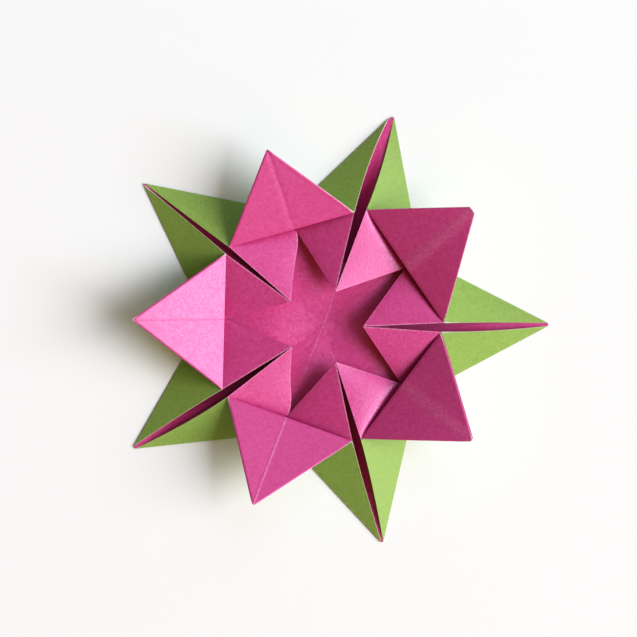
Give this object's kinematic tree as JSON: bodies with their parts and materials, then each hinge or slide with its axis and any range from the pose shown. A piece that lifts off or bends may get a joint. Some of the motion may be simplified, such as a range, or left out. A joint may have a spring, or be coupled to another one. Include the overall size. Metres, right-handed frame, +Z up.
{
  "type": "folded paper star",
  "caption": "Decorative star folded from one sheet of two-coloured paper, with raised pink petals, green slotted points and a sunk centre.",
  "frame": {"origin": "middle of the flat underside, where the axis creases of the sheet cross", "axes": "+Z up, away from the table; +X along one green point"},
  "size_m": [0.0835, 0.0856, 0.0127],
  "materials": {
    "two_coloured_paper": "matt, pink on one side and green on the other"
  },
  "bodies": {
    "root": {"folded_star": "two_coloured_paper"}
  },
  "joints": []
}
